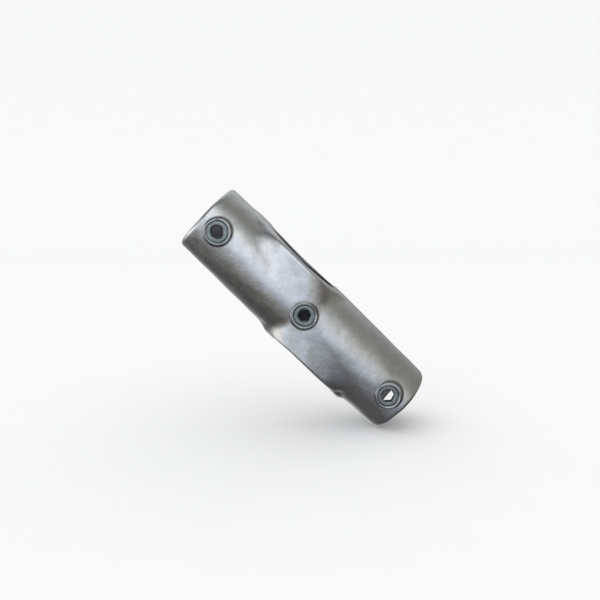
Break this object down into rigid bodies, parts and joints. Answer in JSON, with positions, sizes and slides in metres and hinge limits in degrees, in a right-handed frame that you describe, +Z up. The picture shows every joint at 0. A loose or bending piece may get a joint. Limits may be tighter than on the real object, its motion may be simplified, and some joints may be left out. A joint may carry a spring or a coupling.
{
  "type": "tube cross coupler",
  "caption": "Cast sleeve and collar that join an upright tube and a sloping tube at 45 degrees, each tube gripped by a hexagon socket set screw threaded through a round boss.",
  "frame": {"origin": "where the axis of the sleeve and the axis of the upright tube cross, inside the casting, which is also the middle of its bounding box to 0.2 mm", "axes": "+Z up along the upright tube; the sleeve's axis runs from upper left (-X, +Z) to lower right (+X, -Z) at 45 degrees; the set screws face -Y"},
  "size_m": [0.1746, 0.0558, 0.1746],
  "materials": {
    "galvanised_casting": "hot dip galvanised, satin, mottled light grey",
    "screw_zinc": "zinc plated, dull grey green",
    "point_steel": "case hardened, dark grey"
  },
  "bodies": {
    "casting": {"cross_fitting_casting": "galvanised_casting"},
    "upper_travel": {"upper_cup_point": "point_steel"},
    "upper_screw": {"upper_set_screw": "screw_zinc"},
    "middle_travel": {"middle_cup_point": "point_steel"},
    "middle_screw": {"middle_set_screw": "screw_zinc"},
    "lower_travel": {"lower_cup_point": "point_steel"},
    "lower_screw": {"lower_set_screw": "screw_zinc"}
  },
  "joints": [
    {"name": "upper_screw_travel", "type": "slide", "parent": "casting", "child": "upper_travel", "axis": [0, -1, 0], "range_m": [0, 0.00267]},
    {"name": "upper_screw_turn", "type": "hinge", "parent": "upper_travel", "child": "upper_screw", "pos_m": [-0.05798, -0.0213, 0.05798], "axis": [0, -1, 0], "range_deg": [0, 720]},
    {"name": "middle_screw_travel", "type": "slide", "parent": "casting", "child": "middle_travel", "axis": [0, -1, 0], "range_m": [0, 0.00267]},
    {"name": "middle_screw_turn", "type": "hinge", "parent": "middle_travel", "child": "middle_screw", "pos_m": [0, -0.0209, 0], "axis": [0, -1, 0], "range_deg": [0, 720]},
    {"name": "lower_screw_travel", "type": "slide", "parent": "casting", "child": "lower_travel", "axis": [0, -1, 0], "range_m": [0, 0.00267]},
    {"name": "lower_screw_turn", "type": "hinge", "parent": "lower_travel", "child": "lower_screw", "pos_m": [0.05798, -0.0205, -0.05798], "axis": [0, -1, 0], "range_deg": [0, 720]}
  ],
  "couplings": [
    {"joint": "upper_screw_turn", "follows": "upper_screw_travel", "rad_per_m": 4700},
    {"joint": "middle_screw_turn", "follows": "middle_screw_travel", "rad_per_m": 4700},
    {"joint": "lower_screw_turn", "follows": "lower_screw_travel", "rad_per_m": 4700}
  ]
}
